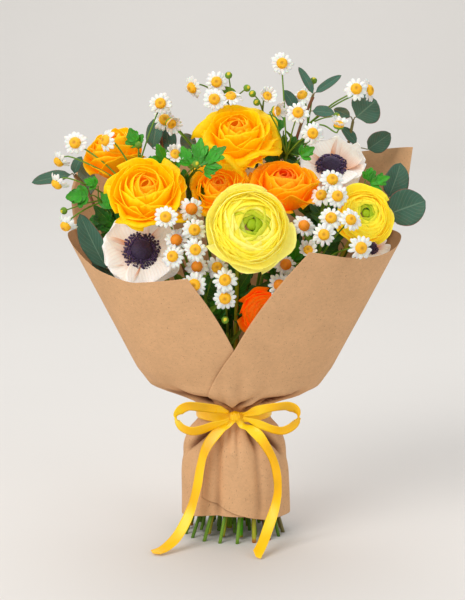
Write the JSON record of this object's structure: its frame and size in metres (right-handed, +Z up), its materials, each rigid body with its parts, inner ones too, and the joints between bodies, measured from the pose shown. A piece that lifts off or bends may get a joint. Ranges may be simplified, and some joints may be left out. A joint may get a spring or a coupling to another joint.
{
  "type": "wrapped bouquet of flowers",
  "caption": "Hand-tied bouquet of roses, ranunculus, anemones, chamomile and eucalyptus, wrapped in kraft paper and tied at the waist with a satin ribbon bow.",
  "frame": {"origin": "centre of the base of the bouquet's box, at the level that its cut stems stand on, without the free ribbon tails", "axes": "+Z up along the stems, +X to the viewer's right, -Y out of the front of the wrap"},
  "size_m": [0.369, 0.2162, 0.4579],
  "materials": {
    "anemone_centre": "matt, velvety",
    "anemone_petal": "thin silky petal",
    "stem": "smooth green stem",
    "chamomile": "soft petal and green stalk",
    "eucalyptus": "matt, waxy leaf",
    "green_foliage": "satin leaf",
    "kraft_paper": "uncoated kraft paper",
    "ranunculus_lemon": "thin silky petal",
    "ranunculus_orange": "thin silky petal",
    "satin_ribbon": "satin",
    "rose_orange": "soft waxy petal",
    "rose_yellow": "soft waxy petal",
    "binding_twine": "twisted twine"
  },
  "bodies": {
    "root": {"anemone_edge_centre": "anemone_centre", "anemone_edge_petals": "anemone_petal", "anemone_edge_stem": "stem", "anemone_left_centre": "anemone_centre", "anemone_left_petals": "anemone_petal", "anemone_left_stem": "stem", "anemone_top_centre": "anemone_centre", "anemone_top_petals": "anemone_petal", "anemone_top_stem": "stem", "chamomile_01": "chamomile", "chamomile_02": "chamomile", "chamomile_03": "chamomile", "chamomile_04": "chamomile", "chamomile_05": "chamomile", "chamomile_06": "chamomile", "chamomile_07": "chamomile", "chamomile_08": "chamomile", "chamomile_09": "chamomile", "chamomile_10": "chamomile", "chamomile_11": "chamomile", "chamomile_12": "chamomile", "chamomile_13": "chamomile", "chamomile_14": "chamomile", "eucalyptus_back_left": "eucalyptus", "eucalyptus_left": "eucalyptus", "eucalyptus_right": "eucalyptus", "eucalyptus_right_upper": "eucalyptus", "eucalyptus_top": "eucalyptus", "foliage_centre": "green_foliage", "foliage_inner": "green_foliage", "foliage_left": "green_foliage", "foliage_low": "green_foliage", "foliage_right": "green_foliage", "foliage_top": "green_foliage", "foliage_upper": "green_foliage", "kraft_back_sheet": "kraft_paper", "kraft_outer_sheet": "kraft_paper", "ranunculus_front_petals": "ranunculus_lemon", "ranunculus_front_stem": "stem", "ranunculus_low_petals": "ranunculus_orange", "ranunculus_low_stem": "stem", "ranunculus_right_petals": "ranunculus_lemon", "ranunculus_right_stem": "stem", "ribbon_band": "satin_ribbon", "ribbon_knot": "satin_ribbon", "ribbon_loop_left": "satin_ribbon", "ribbon_loop_right": "satin_ribbon", "ribbon_tail_left": "satin_ribbon", "ribbon_tail_right": "satin_ribbon", "rose_back_left_petals": "rose_orange", "rose_back_left_stem": "stem", "rose_left_petals": "rose_yellow", "rose_left_stem": "stem", "rose_middle_petals": "rose_orange", "rose_middle_stem": "stem", "rose_right_petals": "rose_orange", "rose_right_stem": "stem", "rose_top_petals": "rose_yellow", "rose_top_stem": "stem", "stem_binding": "binding_twine"}
  },
  "joints": []
}
